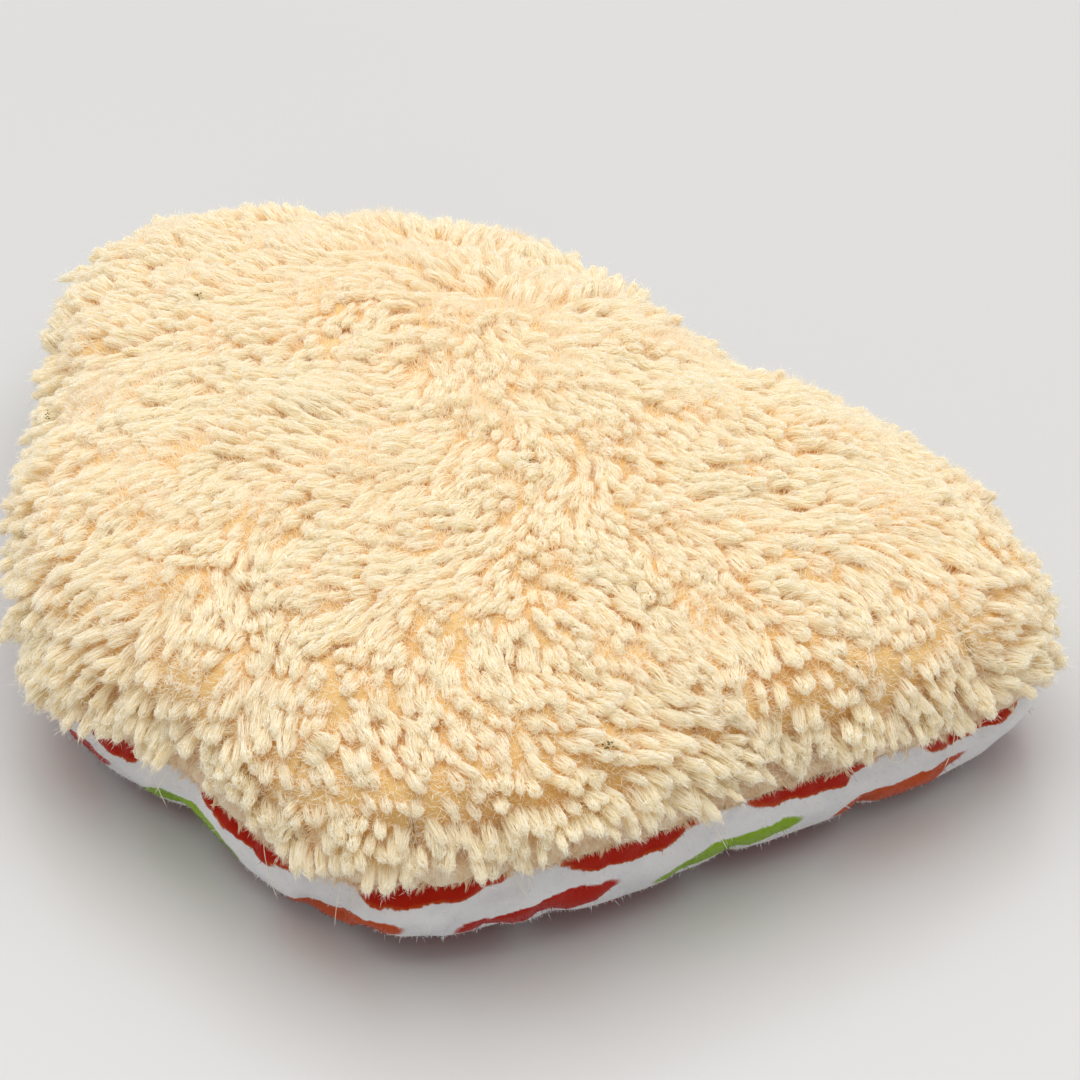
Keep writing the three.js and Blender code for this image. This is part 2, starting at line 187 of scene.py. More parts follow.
class Nodes:
    """Short words for a material's nodes."""

    def __init__(self, name):
        self.material = bpy.data.materials.new(name)
        self.material.use_nodes = True
        self.tree = self.material.node_tree
        self.tree.nodes.clear()

    def add(self, kind, **values):
        node = self.tree.nodes.new(kind)
        for key, value in values.items():
            setattr(node, key, value)
        return node

    def put(self, socket, value):
        if isinstance(value, bpy.types.NodeSocket):
            self.tree.links.new(value, socket)
        else:
            socket.default_value = value

    def math(self, operation, *args):
        node = self.add("ShaderNodeMath", operation=operation)
        for socket, value in zip(node.inputs, args):
            self.put(socket, value)
        return node.outputs[0]

    def noise(self, vector, scale, detail=2.0, roughness=0.5):
        node = self.add("ShaderNodeTexNoise")
        for key, value in (("Vector", vector), ("Scale", scale), ("Detail", detail), ("Roughness", roughness)):
            self.put(node.inputs[key], value)
        return node.outputs["Fac"]

    def stretch(self, vector, scale):
        node = self.add("ShaderNodeMapping")
        self.put(node.inputs["Vector"], vector)
        node.inputs["Scale"].default_value = scale
        return node.outputs["Vector"]

    def ramp(self, factor, stops, interpolation="LINEAR"):
        node = self.add("ShaderNodeValToRGB")
        node.color_ramp.interpolation = interpolation
        elements = node.color_ramp.elements
        while len(elements) < len(stops):
            elements.new(0.5)
        for element, (position, colour) in zip(elements, stops):
            element.position = position
            element.color = (*colour, 1.0)
        self.put(node.inputs["Fac"], factor)
        return node.outputs["Color"]

    def mix(self, factor, a, b, blend="MIX"):
        node = self.add("ShaderNodeMix", data_type="RGBA", blend_type=blend)
        self.put(node.inputs["Factor"], factor)
        for key, value in (("A", a), ("B", b)):
            socket = next(s for s in node.inputs if s.name == key and s.type == "RGBA")
            self.put(socket, value if isinstance(value, bpy.types.NodeSocket) else (*value, 1.0))
        return next(s for s in node.outputs if s.type == "RGBA")

    def step(self, value, low, high):
        """0 at low to 1 at high, smoothly; low may be the larger."""
        node = self.add("ShaderNodeMapRange", interpolation_type="SMOOTHSTEP")
        for key, given in (("Value", value), ("From Min", low), ("From Max", high)):
            self.put(node.inputs[key], given)
        return node.outputs["Result"]

    def bump(self, height, strength, distance):
        node = self.add("ShaderNodeBump")
        for key, value in (("Height", height), ("Strength", strength), ("Distance", distance)):
            self.put(node.inputs[key], value)
        return node.outputs["Normal"]

    def uv(self, layer):
        return self.add("ShaderNodeUVMap", uv_map=layer).outputs["UV"]

    def place(self):
        return self.add("ShaderNodeTexCoord").outputs["Object"]

    def split(self, vector):
        node = self.add("ShaderNodeSeparateXYZ")
        self.put(node.inputs[0], vector)
        return node.outputs

    def finish(self, thin=0.0, **inputs):
        """The material with a share of its light let through, as in thin fibre."""
        shader = self.add("ShaderNodeBsdfPrincipled")
        for key, value in inputs.items():
            self.put(shader.inputs[key.replace("_", " ")], value)
        if thin:
            through = self.add("ShaderNodeBsdfTranslucent")
            self.put(through.inputs["Color"], inputs["Base_Color"])
            blend = self.add("ShaderNodeMixShader")
            self.put(blend.inputs[0], thin)
            self.put(blend.inputs[1], shader.outputs[0])
            self.put(blend.inputs[2], through.outputs[0])
            shader = blend
        output = self.add("ShaderNodeOutputMaterial")
        self.tree.links.new(shader.outputs[0], output.inputs["Surface"])
        return self.material


CREAM_TIP = (0.9995, 0.98, 0.90)
CREAM_MIDDLE = (0.999, 0.97, 0.85)
# Toward the root the cream turns a darker, more orange tan: partly the fibre's tone, partly painted shade of the deep
# pile.
CREAM_ROOT_AND_SHADE = (0.992, 0.865, 0.53)
# Painted shade: the orange tan that the gaps between the tufts show in shade, put on the ground under them.
GAP_SHADE_TAN = (0.82, 0.54, 0.22)
FELT_DARK = (0.84, 0.65, 0.43)
FELT_PALE = (0.935, 0.80, 0.60)
VELOUR_WHITE = (0.87, 0.865, 0.865)
VELOUR_SHADE = (0.81, 0.81, 0.825)
PRINT_RED = (0.46, 0.015, 0.003)
PRINT_RUST = (0.52, 0.075, 0.012)
PRINT_GREEN = (0.27, 0.45, 0.012)
PRINT_ORANGE = (0.56, 0.075, 0.008)
THIN = 0.4


def pile_material():
    """Cream acrylic fibre in fine strands: tone across u, and along v from a tan root to a pale tip, the root's darker,
    more orange tan being partly painted shade of the deep pile.
    """
    n = Nodes("sherpa_pile")
    uv = n.uv("OFBake")
    u, v, _ = n.split(uv)
    # Partly painted shade: darker and more orange toward the fibres' roots, deep in the pile.
    along = n.ramp(v, [(0.0, CREAM_ROOT_AND_SHADE), (0.5, CREAM_MIDDLE), (0.95, CREAM_TIP)])
    tone = n.ramp(u, [(0.0, (0.993, 0.975, 0.94)), (0.5, (0.999, 0.993, 0.982)), (1.0, (1.0, 1.0, 1.0))])
    strands = n.noise(n.stretch(uv, (330.0, 5.0, 1.0)), 1.0, 2.0, 0.6)
    fine = n.ramp(strands, [(0.3, (0.993, 0.975, 0.94)), (0.62, (1.0, 1.0, 1.0))])
    colour = n.mix(1.0, n.mix(1.0, along, tone, "MULTIPLY"), fine, "MULTIPLY")
    return n.finish(THIN, Base_Color=colour, Roughness=1.0, Specular_IOR_Level=0.05)


def fuzz_material():
    """The short, matted fibre along the seam, a little duller than the tufts."""
    n = Nodes("sherpa_fuzz")
    u, v, _ = n.split(n.uv("OFBake"))
    along = n.ramp(v, [(0.0, FELT_DARK), (1.0, FELT_PALE)])
    tone = n.ramp(u, [(0.0, (0.92, 0.90, 0.87)), (1.0, (1.0, 1.0, 1.0))])
    return n.finish(Base_Color=n.mix(1.0, along, tone, "MULTIPLY"), Roughness=0.95, Specular_IOR_Level=0.1,
                    Sheen_Weight=0.3)


def ground_material():
    """The knit ground under the tufts, matted to felt by the seam, and further in coloured an orange tan that is
    painted shade of the gaps between the tufts.
    """
    n = Nodes("sherpa_ground")
    place = n.place()
    patches = n.noise(place, 320.0, 3.0, 0.6)
    fibres = n.noise(place, 2600.0, 3.0, 0.7)
    mottle = n.math("ADD", n.math("MULTIPLY", patches, 0.5), n.math("MULTIPLY", fibres, 0.5))
    felt = n.ramp(mottle, [(0.35, FELT_DARK), (0.65, FELT_PALE)])
    from_seam = n.split(n.uv("Border"))[1]
    # Past the felt the ground takes the painted shade of the gaps between the tufts.
    colour = n.mix(n.step(from_seam, 4.0, 6.0), felt, GAP_SHADE_TAN)
    return n.finish(Base_Color=colour, Roughness=1.0, Specular_IOR_Level=0.1, Sheen_Weight=0.3,
                    Normal=n.bump(fibres, 0.6, 0.0003))


def print_colour(n):
    """A border of scallops and leaves in red, green and orange on white, laid out from the seam inward.

    The Border map gives motifs along the seam across x and millimetres from the seam along y."""
    x, y, _ = n.split(n.uv("Border"))
    flat = n.uv("OFBake")
    wobble = n.math("SUBTRACT", n.noise(flat, 38.0, 2.0), 0.5)
    sway = n.math("SUBTRACT", n.noise(flat, 27.0, 1.0), 0.5)
    nap = n.math("SUBTRACT", n.noise(flat, 420.0, 2.0), 0.5)
    x = n.math("ADD", x, n.math("MULTIPLY", sway, 0.18))
    y = n.math("ADD", y, n.math("ADD", n.math("MULTIPLY", wobble, 2.4), n.math("MULTIPLY", nap, 0.6)))

    def row(shift, level, half_width, half_height, lean=0.0):
        """How far outside the motifs of one row a point lies, about in millimetres, and the motif's number."""
        across = n.math("ADD", x, shift)
        number = n.math("FLOOR", across)
        dx = n.math("SUBTRACT", n.math("SUBTRACT", across, number), 0.5)
        dy = n.math("ADD", n.math("SUBTRACT", y, level), n.math("MULTIPLY", dx, lean))
        span = n.math("POWER", n.math("ABSOLUTE", n.math("DIVIDE", dx, half_width)), 2.0)
        rise = n.math("POWER", n.math("ABSOLUTE", n.math("DIVIDE", dy, half_height)), 2.0)
        reach = n.math("SQRT", n.math("ADD", span, rise))
        return n.math("MULTIPLY", n.math("SUBTRACT", reach, 1.0), half_height), number

    def inked(colour, distance, ink, rim=None):
        if rim:
            ink = n.mix(n.step(distance, -0.5, -0.05), ink, rim)
        return n.mix(n.step(distance, 0.12, -0.12), colour, ink)

    colour = n.mix(n.step(n.noise(flat, 60.0, 2.0), 0.35, 0.65), VELOUR_WHITE, VELOUR_SHADE)
    scallop, _ = row(0.0, 0.0, 0.39, 2.7)
    colour = inked(colour, scallop, PRINT_RED, PRINT_RUST)
    leaf, number = row(0.45, 6.6, 0.4, 2.2, 3.0)
    third = n.math("FRACT", n.math("DIVIDE", n.math("SUBTRACT", number, 0.5), 3.0))
    ink = n.ramp(third, [(0.0, PRINT_RED), (0.34, PRINT_GREEN), (0.67, PRINT_ORANGE)], "CONSTANT")
    colour = inked(colour, leaf, ink)
    for shift, level, half_width, half_height, hue in (
        (0.0, 13.8, 0.45, 3.6, PRINT_RED),
        (0.5, 22.5, 0.3, 2.8, PRINT_GREEN),
        (0.0, 31.0, 0.26, 2.4, PRINT_RED),
    ):
        dot, _ = row(shift, level, half_width, half_height)
        colour = inked(colour, dot, hue)
    # Darkened a little, in a fine random mottle that follows the nap noise.
    nap_mottled = n.mix(1.0, colour, (0.72, 0.72, 0.72), "MULTIPLY")
    return n.mix(n.math("MULTIPLY", n.math("ADD", nap, 0.5), 0.25), colour, nap_mottled)


def velour_material():
    n = Nodes("printed_velour")
    nap = n.noise(n.place(), 3200.0, 3.0, 0.7)
    return n.finish(Base_Color=print_colour(n), Roughness=0.95, Specular_IOR_Level=0.12, Sheen_Weight=0.25,
                    Sheen_Roughness=0.4, Normal=n.bump(nap, 0.5, 0.0002))


def nap_material():
    """The standing ends of the velour's own fibre, in the colour printed where they stand."""
    n = Nodes("velour_nap")
    return n.finish(Base_Color=print_colour(n), Roughness=0.95, Specular_IOR_Level=0.1, Sheen_Weight=0.3)


def speckled_material(name, stops, scale, roughness=0.95, strength=0.4):
    """A soft inner material: mottled colour with a fine bump."""
    n = Nodes(name)
    place = n.place()
    mottle = n.noise(place, scale, 4.0, 0.65)
    return n.finish(Base_Color=n.ramp(mottle, stops), Roughness=roughness, Specular_IOR_Level=0.15,
                    Normal=n.bump(n.noise(place, scale * 3, 3.0, 0.7), strength, 0.0003))


PILE = pile_material()
FUZZ = fuzz_material()
GROUND = ground_material()
VELOUR = velour_material()
NAP = nap_material()
THREAD = speckled_material("sewing_thread", [(0.3, (0.70, 0.60, 0.44)), (0.7, (0.90, 0.82, 0.68))], 3000.0, 0.7)
FIBREFILL = speckled_material("fibrefill", [(0.3, (0.78, 0.78, 0.76)), (0.7, (0.95, 0.95, 0.94))], 220.0)
CATNIP = speckled_material(
    "dried_catnip", [(0.25, (0.08, 0.06, 0.025)), (0.5, (0.20, 0.16, 0.06)), (0.75, (0.36, 0.29, 0.12))], 900.0)


# The seam's outline and the stuffed forms, taken from the frame

CATNIP_BOX = [np.array(corner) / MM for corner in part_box("catnip_filling")]
CENTRE = ((CATNIP_BOX[0] + CATNIP_BOX[1]) / 2)[:2]
SEAM_Z = ((CATNIP_BOX[0] + CATNIP_BOX[1]) / 2)[2]


def seam_droop(angle):
    """How far the seam hangs below its level in each direction."""
    drop = np.full_like(angle, SEAM_SAG)
    for heading, depth, spread in SEAM_DROOPS:
        apart = (angle - math.radians(heading) + np.pi) % (2 * np.pi) - np.pi
        drop += depth * np.exp(-0.5 * (apart / math.radians(spread)) ** 2)
    return drop


def seam_outline():
    """The seam's reach from the centre in each of 720 directions, from the fleece's fold."""
    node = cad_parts["fleece_panel"].data.vertices
    co = np.empty(len(node) * 3)
    node.foreach_get("co", co)
    co = co.reshape(-1, 3) / MM
    ray = co[:, :2] - CENTRE
    angle = np.arctan2(ray[:, 1], ray[:, 0])
    level = co[:, 2] + seam_droop(angle)
    fold = level < level.min() + 0.1
    angle, reach = angle[fold], np.linalg.norm(ray[fold], axis=1)
    apart = np.abs((angle[:, None] - angle[None] + np.pi) % (2 * np.pi) - np.pi)
    outer = (reach[:, None] + 1.5 > np.where(apart < 0.1, reach[None], 0)).all(1)
    order = np.argsort(angle[outer])
    table = np.linspace(-np.pi, np.pi, 720, endpoint=False)
    reach = np.interp(table, angle[outer][order], reach[outer][order], period=2 * np.pi)
    kernel = np.exp(-0.5 * (np.arange(-9, 10) / 3.0) ** 2)
    return table, np.convolve(np.concatenate([reach[-9:], reach, reach[:9]]), kernel / kernel.sum(), "valid")


TABLE_ANGLE, TABLE_REACH = seam_outline()


def reach_at(angle):
    return np.interp(angle, TABLE_ANGLE, TABLE_REACH, period=2 * np.pi)


def lock_share(x, y):
    """How far the pile's locks stand above their mean at a place, as a share of their rise."""
    share = 0
    for heading, length in LOCK_WAVES:
        angle = math.radians(heading)
        share = share + np.sin(2 * np.pi * ((x - CENTRE[0]) * np.cos(angle) + (y - CENTRE[1]) * np.sin(angle)) / length)
    return share / len(LOCK_WAVES)


def even_angles(count):
    """Directions to points at even steps along the seam."""
    angle = np.linspace(-np.pi, np.pi, 7201)
    reach = reach_at(angle)
    points = np.stack([reach * np.cos(angle), reach * np.sin(angle)], 1)
    length = np.concatenate([[0], np.cumsum(np.linalg.norm(np.diff(points, axis=0), axis=1))])
    return np.interp(np.arange(count) * length[-1] / count, length, angle)


ANGLES = even_angles(COLUMNS)


def swollen_panel(angles, rows, fleece):
    """Points of a stuffed panel before the cloth swells, rows from the seam to the pole and columns round it."""
    turn = np.radians(90 * np.linspace(0, 1, rows) ** ROW_BIAS)[:, None]
    fullness = FLEECE_FULLNESS if fleece else BELLY_FULLNESS
    width = np.cos(turn) ** (2 / fullness)
    rise = np.sin(turn) ** (2 / fullness)
    droop = seam_droop(angles)[None]
    radius = reach_at(angles)[None] * width
    if fleece:
        z = SEAM_Z - droop * (1 - rise) ** 2 + FLEECE_CROWN * rise
    else:
        ramp = np.sin(np.pi / 2 * np.minimum(1, np.degrees(turn) / RAMP_ANGLE))
        radius = radius + BELLY_SWELL * ramp * np.cos(turn)
        z = np.maximum((SEAM_Z - droop) * (1 - rise) - REST_CUT * rise, 0)
    x = CENTRE[0] + radius * np.cos(angles)
    y = CENTRE[1] + radius * np.sin(angles)
    return np.stack([x, y, z + 0 * x], -1)


def cloth_moves(top, belly):
    """How far the points of both panels move when the sewn bag is blown up with its seam and its rest held."""
    rows, columns = top.shape[:2]
    inner = rows - 2
    verts = np.concatenate([top[:-1].reshape(-1, 3), top[-1, :1], belly[1:-1].reshape(-1, 3), belly[-1, :1]])
    column = np.arange(columns)
    after = (column + 1) % columns
    top_ids = [row * columns + column for row in range(rows - 1)]
    start = (rows - 1) * columns + 1
    belly_ids = [column] + [start + row * columns + column for row in range(inner)]
    quads, fans = [], []
    for ids, pole, outward in ((top_ids, (rows - 1) * columns, True), (belly_ids, len(verts) - 1, False)):
        for low, high in zip(ids[:-1], ids[1:]):
            quad = np.stack([low, low[after], high[after], high], 1)
            quads.append(quad if outward else quad[:, ::-1])
        fan = np.stack([ids[-1], ids[-1][after], np.full(columns, pole)], 1)
        fans.append(fan if outward else fan[:, ::-1])
    obj = new_mesh("cloth_bag", verts * CLOTH_SCALE, [np.concatenate(quads), np.concatenate(fans)], FIBREFILL)
    held = obj.vertex_groups.new(name="held")
    rest = np.flatnonzero(verts[:, 2] < 0.02)
    held.add([int(i) for i in np.concatenate([column, rest])], 1.0, "REPLACE")
    cloth = obj.modifiers.new("cloth", "CLOTH")
    cloth.settings.vertex_group_mass = "held"
    cloth.settings.quality = 6
    cloth.settings.mass = 0.3
    cloth.settings.tension_stiffness = 25
    cloth.settings.compression_stiffness = 25
    cloth.settings.bending_stiffness = 0.6
    cloth.settings.use_pressure = True
    cloth.settings.uniform_pressure_force = CLOTH_PRESSURE
    cloth.settings.shrink_min = -CLOTH_GROWTH
    cloth.settings.effector_weights.gravity = 0
    cloth.point_cache.frame_start = 1
    cloth.point_cache.frame_end = CLOTH_FRAMES
    scene = bpy.context.scene
    for number in range(1, CLOTH_FRAMES + 1):
        scene.frame_set(number)
    settled = obj.evaluated_get(bpy.context.evaluated_depsgraph_get()).data
    co = np.empty(len(verts) * 3, dtype=np.float32)
    settled.vertices.foreach_get("co", co)
    scene.frame_set(1)
    move = co.reshape(-1, 3) / (CLOTH_SCALE * MM) - verts
    bpy.data.objects.remove(obj)
    length = np.linalg.norm(move, axis=1, keepdims=True)
    move *= np.minimum(1, CLOTH_CAP * np.tanh(length / CLOTH_CAP) / np.maximum(length, 1e-9))
    top_move = np.concatenate([move[:(rows - 1) * columns].reshape(rows - 1, columns, 3),
                               np.broadcast_to(move[(rows - 1) * columns], (1, columns, 3))])
    belly_move = np.concatenate([move[None, :columns], move[start:-1].reshape(inner, columns, 3),
                                 np.broadcast_to(move[-1], (1, columns, 3))])
    return top_move, belly_move


def finer(field):
    """A coarse grid's field at the points of the fine grid."""
    rows, columns = field.shape[:2]
    row = np.linspace(0, rows - 1, ROWS)
    low = np.minimum(row.astype(int), rows - 2)
    share = (row - low)[:, None, None]
    field = field[low] * (1 - share) + field[low + 1] * share
    column = np.arange(COLUMNS) * columns / COLUMNS
    left = column.astype(int)
    share = (column - left)[None, :, None]
    share = share * share * (3 - 2 * share)
    return field[:, left] * (1 - share) + field[:, (left + 1) % columns] * share


def stuffed_forms():
    """The fleece's ground and the velour's face, swollen by the cloth simulation."""
    angles = even_angles(CLOTH_COLUMNS)
    moves = cloth_moves(swollen_panel(angles, CLOTH_ROWS, True), swollen_panel(angles, CLOTH_ROWS, False))
    top = swollen_panel(ANGLES, ROWS, True) + finer(moves[0])
    belly = swollen_panel(ANGLES, ROWS, False) + finer(moves[1])
    belly[..., 2] = np.maximum(belly[..., 2], 0)
    return top, belly


class Surface:
    """A panel's grid of points, read anywhere by its column and by its distance from the seam."""

    def __init__(self, grid):
        self.grid = grid
        steps = np.linalg.norm(np.diff(grid, axis=0), axis=2)
        self.from_seam = np.concatenate([np.zeros((1, COLUMNS)), np.cumsum(steps, 0)])
        self.span = self.from_seam[-1]
        along = np.gradient(grid, axis=0)
        around = np.roll(grid, -1, 1) - np.roll(grid, 1, 1)
        self.side = 1 if grid[-1, 0, 2] > grid[0, 0, 2] else -1
        normal = np.cross(around, along) * self.side
        normal[-1] = (0, 0, self.side)
        self.normal = unit(normal)
        self.inward = unit(along)

    def column(self, angle):
        return np.interp(angle, ANGLES, np.arange(COLUMNS), period=2 * np.pi)

    def span_at(self, column):
        return np.interp(column, np.arange(COLUMNS + 1), np.append(self.span, self.span[0]))

    def read(self, column, from_seam):
        """Point, normal and outward direction at columns and distances from the seam."""
        base = np.floor(column).astype(int)
        share = (column - base)[:, None]
        near, far = base % COLUMNS, (base + 1) % COLUMNS
        row = np.empty(len(base))
        numbers = np.arange(ROWS)
        for i in range(len(base)):
            row[i] = np.interp(from_seam[i], self.from_seam[:, near[i]], numbers)
        low = np.clip(np.floor(row).astype(int), 0, ROWS - 2)
        rise = (row - low)[:, None]

        def blend(field):
            left = field[low, near] * (1 - rise) + field[low + 1, near] * rise
            right = field[low, far] * (1 - rise) + field[low + 1, far] * rise
            return left * (1 - share) + right * share

        return blend(self.grid), unit(blend(self.normal)), -unit(blend(self.inward))


TOP_GRID, BELLY_GRID = stuffed_forms()
TOP = Surface(TOP_GRID)
BELLY = Surface(BELLY_GRID)


# Panels

def flat_map(column, reach, centre, shrink=1.0):
    """A point of the flat pattern as a UV, from its column and its distance from the pole."""
    angle = np.interp(column, np.arange(COLUMNS + 1), np.append(ANGLES, np.pi))
    return np.stack([centre[0] + shrink * reach * np.cos(angle) / FLAT_SCALE,
                     centre[1] + shrink * reach * np.sin(angle) / FLAT_SCALE], -1)


def panel(name, surface, ply, raised, made):
    """A panel as one closed body: its face, its edge turned in along the seam, and its back."""
    rows = ROWS - 1
    side = surface.side
    face = surface.grid + raised[..., None] * surface.normal
    back = surface.grid - ply * surface.normal
    seam = surface.grid[0] + [0, 0, 0.15 * side]
    ray = surface.grid[0] - np.array([*CENTRE, 0])
    ray[:, 2] = 0
    tip = seam - FOLD_WIDTH * unit(ray)
    kept = [row for row in range(rows) if (side * (back[row, :, 2] - surface.grid[0, :, 2]) > ply + 0.4).all()]
    layers = [*face[rows - 1:0:-1], seam, tip, tip + [0, 0, side * ply], *back[kept]]
    verts = np.concatenate([face[-1, :1], *layers, back[-1, :1]])

    column = np.arange(COLUMNS)
    zero = np.zeros(COLUMNS)
    outer = [flat_map(column, surface.span - surface.from_seam[row], (0.29, 0.5)) for row in range(rows - 1, -1, -1)]
    inner = [flat_map(column, surface.span + reach, (0.79, 0.5), 0.55) for reach in (-1.0, -1.5)]
    inner += [flat_map(column, surface.span - 2 - surface.from_seam[row], (0.79, 0.5), 0.55) for row in kept]
    flat = np.concatenate([[(0.29, 0.5)], *outer, *inner, [(0.79, 0.5)]])
    share = MOTIFS * column / COLUMNS
    border = [np.stack([share, surface.from_seam[row]], -1) for row in range(rows - 1, -1, -1)]
    border += [np.stack([share, zero - 50], -1)] * len(inner)
    border = np.concatenate([[(0, surface.span.mean())], *border, [(0, -50)]])

    after = (column + 1) % COLUMNS
    quads = []
    for number in range(len(layers) - 1):
        low, high = 1 + number * COLUMNS, 1 + (number + 1) * COLUMNS
        quads.append(np.stack([low + column, low + after, high + after, high + column], 1))
    first = np.stack([zero.astype(int), 1 + after, 1 + column], 1)
    base = 1 + (len(layers) - 1) * COLUMNS
    last = np.stack([np.full(COLUMNS, len(verts) - 1), base + column, base + after], 1)
    faces = [np.concatenate(quads), np.concatenate([first, last])]
    if side > 0:
        faces = [group[:, ::-1] for group in faces]
    obj = new_mesh(name, verts, faces, made, {"OFBake": flat, "Border": border})
    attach(obj, "root")
    return obj


def underpile(from_seam, x, y):
    """How much higher than the felt the matted fibre under the tufts is."""
    return (UNDERPILE - FELT_DEPTH + LOCK_RISE * lock_share(x, y)) * smooth(from_seam, *UNDERPILE_RISE)


def felt_height():
    """The matted fibre stands proud of the ground: a little by the seam, in soft lumps, more under the tufts."""
    x, y = TOP.grid[..., 0], TOP.grid[..., 1]
    lumps = 0.6 * value_noise(x, y + TOP.grid[..., 2], 3.5, 31) + 0.5 * value_noise(x, y + TOP.grid[..., 2], 1.7, 32)
    felt = FELT_DEPTH * smooth(TOP.from_seam, 0.0, FELT_EDGE) * (1 + 0.4 * lumps)
    return felt + underpile(TOP.from_seam, x, y)


fleece_ground = panel("fleece_ground", TOP, FLEECE_PLY, felt_height(), GROUND)
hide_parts("fleece_panel")
printed_front = panel("printed_front", BELLY, VELOUR_PLY, np.zeros((ROWS, COLUMNS)), VELOUR)
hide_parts("printed_panel")


# Fibres and tufts

def blades(rng, root, tip, width, tone, along, widest=0.35):
    """Fine flat fibres, pointed at both ends and widest at a share of their length, each turned at random.

    Their UVs are tone across and root to tip along."""
    count = len(root)
    way = unit(tip - root)
    first = unit(np.cross(way, rng.normal(0, 1, (count, 3))))
    middle = root + widest * (tip - root)
    half = 0.5 * width * first
    verts = np.stack([root, middle - half, middle + half, tip], 1)
    u = tone[:, None] + np.array([0, -0.004, 0.004, 0])
    v = along[0][:, None] + (along[1] - along[0])[:, None] * np.array([0, widest, widest, 1])
    faces = np.array([(0, 2, 1), (1, 2, 3)])[None] + 4 * np.arange(count)[:, None, None]
    return verts.reshape(-1, 3), faces.reshape(-1, 3), np.stack([u, v], -1).reshape(-1, 2)


def joined(parts):
    """Several sets of vertices, faces and UVs as one."""
    offset, verts, faces, uvs = 0, [], [], []
    for v, f, t in parts:
        verts.append(v)
        faces.append(f + offset)
        uvs.append(t)
        offset += len(v)
    return np.concatenate(verts), np.concatenate(faces), np.concatenate(uvs)


def fibre_piece(name, verts, faces, uvs, made=PILE, slot="sherpa_fleece", border=None):
    maps = {"OFBake": uvs}
    if border is not None:
        maps["Border"] = border
    obj = new_mesh(name, verts, faces, made, maps, shaded_smooth=False)
    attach(obj, "root")


def tuft_roots(rng):
    """Uneven rows of tufts as flat places, columns and distances: close by the rim, else in rows round the whorl."""
    span = TOP.span.max() + TUFT_PITCH
    across = np.arange(-span, span, TUFT_PITCH)
    along = np.arange(-span, span, TUFT_PITCH * math.sqrt(3) / 2)
    x, y = np.meshgrid(across, along)
    x = (x + 0.5 * TUFT_PITCH * (np.arange(len(along)) % 2)[:, None]).ravel()
    y = y.ravel()
    close = len(x)
    for reach in np.arange(0.5 * TUFT_ROW, 2 * span, TUFT_ROW):
        number = max(3, round(2 * np.pi * reach / TUFT_PITCH))
        angle = rng.uniform(0, 2 * np.pi) + 2 * np.pi * np.arange(number) / number
        x = np.append(x, WHORL[0] - CENTRE[0] + reach * np.cos(angle))
        y = np.append(y, WHORL[1] - CENTRE[1] + reach * np.sin(angle))
    x = x + rng.normal(0, TUFT_JITTER, x.shape)
    y = y + rng.normal(0, TUFT_JITTER, y.shape)
    angle, reach = np.arctan2(y, x), np.hypot(x, y)
    column = TOP.column(angle)
    from_seam = TOP.span_at(column) - reach
    kept = from_seam > FELT_WIDTH + 0.8 * value_noise(x, y, 5.0, 11)
    kept &= (np.arange(len(x)) < close) == (from_seam < RIM_STRIP)
    return x[kept], y[kept], column[kept], from_seam[kept]


